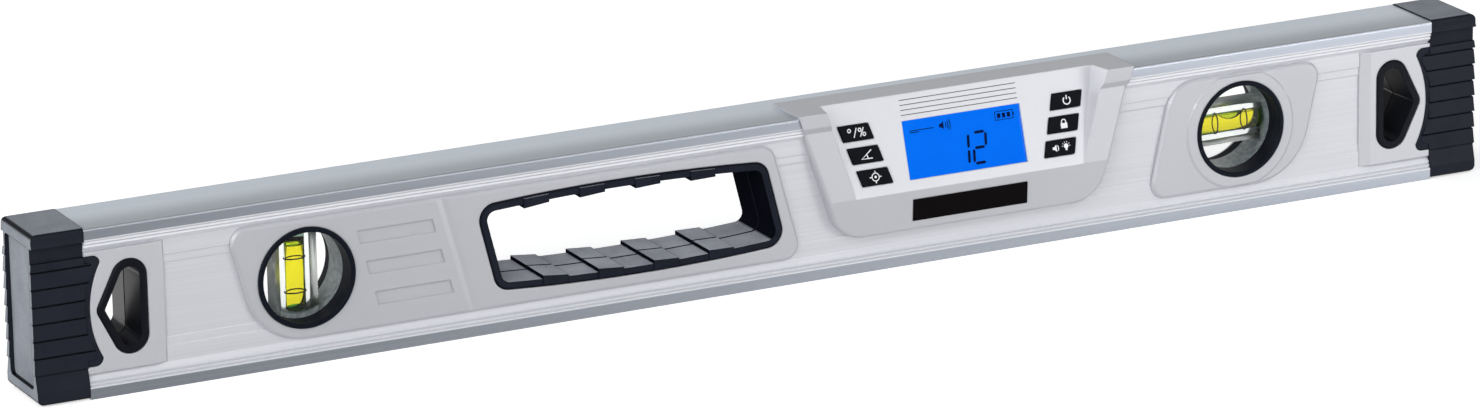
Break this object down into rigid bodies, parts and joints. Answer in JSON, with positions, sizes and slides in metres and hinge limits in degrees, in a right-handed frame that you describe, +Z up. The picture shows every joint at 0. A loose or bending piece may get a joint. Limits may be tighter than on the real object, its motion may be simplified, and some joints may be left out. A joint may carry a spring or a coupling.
{
  "type": "digital spirit level",
  "caption": "Digital spirit level: box beam with a hand hole, plumb and level vials, finger holes in the rubber-capped ends and a tilted display with keys.",
  "frame": {"origin": "middle of the measuring base", "axes": "+X along the beam towards the display end, +Y to the back, +Z up from the measuring base"},
  "size_m": [0.6, 0.0321, 0.0645],
  "materials": {
    "beam_aluminium": "satin anodised",
    "black_rubber": "matt",
    "silver_plastic": "satin silver lacquer",
    "black_plastic": "satin",
    "clear_acrylic": "polished",
    "plug_plastic": "moulded",
    "black_print": "printed",
    "vial_liquid": "clear liquid",
    "vial_air": "clear",
    "clear_lens": "polished",
    "lcd_glass": "backlit",
    "mat_rubber": "matt",
    "key_rubber": "matt",
    "board_laminate": "solder resist",
    "chip_plastic": "moulded",
    "black_gloss": "gloss",
    "cell_jacket": "printed jacket",
    "spring_steel": "nickel plated"
  },
  "bodies": {
    "level": {"beam": "beam_aluminium", "end_cap_left": "black_rubber", "end_pad_left_front": "silver_plastic", "finger_liner_left_front": "black_rubber", "end_pad_left_back": "silver_plastic", "finger_liner_left_back": "black_rubber", "end_cap_right": "black_rubber", "end_pad_right_front": "silver_plastic", "finger_liner_right_front": "black_rubber", "end_pad_right_back": "silver_plastic", "finger_liner_right_back": "black_rubber", "long_cover_front": "silver_plastic", "short_cover_front": "silver_plastic", "handle_grip_front": "black_rubber", "long_cover_back": "silver_plastic", "short_cover_back": "silver_plastic", "handle_grip_back": "black_rubber", "plumb_bezel": "black_plastic", "plumb_retainer": "black_plastic", "plumb_vial_block": "clear_acrylic", "plumb_vial_plug": "plug_plastic", "plumb_vial_marks": "black_print", "plumb_vial_liquid": "vial_liquid", "level_bezel": "black_plastic", "level_retainer": "black_plastic", "level_vial_block": "clear_acrylic", "level_vial_plug": "plug_plastic", "level_vial_marks": "black_print", "level_vial_liquid": "vial_liquid", "display_front": "silver_plastic", "display_back": "silver_plastic", "display_lens": "clear_lens", "lcd_module": "lcd_glass", "keypad_mats": "mat_rubber", "circuit_board": "board_laminate", "tilt_sensor": "chip_plastic", "buzzer": "chip_plastic", "front_plate": "black_gloss", "battery_lower": "cell_jacket", "battery_upper": "cell_jacket", "battery_contacts": "spring_steel", "housing_screws": "spring_steel"},
    "key_left_top": {"key_left_top": "key_rubber"},
    "key_left_middle": {"key_left_middle": "key_rubber"},
    "key_left_bottom": {"key_left_bottom": "key_rubber"},
    "key_right_top": {"key_right_top": "key_rubber"},
    "key_right_middle": {"key_right_middle": "key_rubber"},
    "key_right_bottom": {"key_right_bottom": "key_rubber"},
    "battery_cover": {"battery_cover": "silver_plastic"},
    "plumb_vial_bubble": {"plumb_vial_bubble": "vial_air"},
    "level_vial_bubble": {"level_vial_bubble": "vial_air"}
  },
  "joints": [
    {"name": "key_left_top_press", "type": "slide", "parent": "level", "child": "key_left_top", "axis": [0, 0.9563, -0.2924], "range_m": [0, 0.0007], "stiffness_N_per_m": 600, "springref_m": -0.0005},
    {"name": "key_left_middle_press", "type": "slide", "parent": "level", "child": "key_left_middle", "axis": [0, 0.9563, -0.2924], "range_m": [0, 0.0007], "stiffness_N_per_m": 600, "springref_m": -0.0005},
    {"name": "key_left_bottom_press", "type": "slide", "parent": "level", "child": "key_left_bottom", "axis": [0, 0.9563, -0.2924], "range_m": [0, 0.0007], "stiffness_N_per_m": 600, "springref_m": -0.0005},
    {"name": "key_right_top_press", "type": "slide", "parent": "level", "child": "key_right_top", "axis": [0, 0.9563, -0.2924], "range_m": [0, 0.0007], "stiffness_N_per_m": 600, "springref_m": -0.0005},
    {"name": "key_right_middle_press", "type": "slide", "parent": "level", "child": "key_right_middle", "axis": [0, 0.9563, -0.2924], "range_m": [0, 0.0007], "stiffness_N_per_m": 600, "springref_m": -0.0005},
    {"name": "key_right_bottom_press", "type": "slide", "parent": "level", "child": "key_right_bottom", "axis": [0, 0.9563, -0.2924], "range_m": [0, 0.0007], "stiffness_N_per_m": 600, "springref_m": -0.0005},
    {"name": "battery_cover_pull", "type": "slide", "parent": "level", "child": "battery_cover", "axis": [0, 1, 0], "range_m": [0, 0.025]},
    {"name": "plumb_bubble_run", "type": "slide", "parent": "level", "child": "plumb_vial_bubble", "axis": [0, 0, 1], "range_m": [-0.024, 0], "stiffness_N_per_m": 5, "springref_m": 0.002},
    {"name": "level_bubble_run", "type": "slide", "parent": "level", "child": "level_vial_bubble", "axis": [1, 0, 0], "range_m": [-0.007, 0.007], "stiffness_N_per_m": 2}
  ]
}
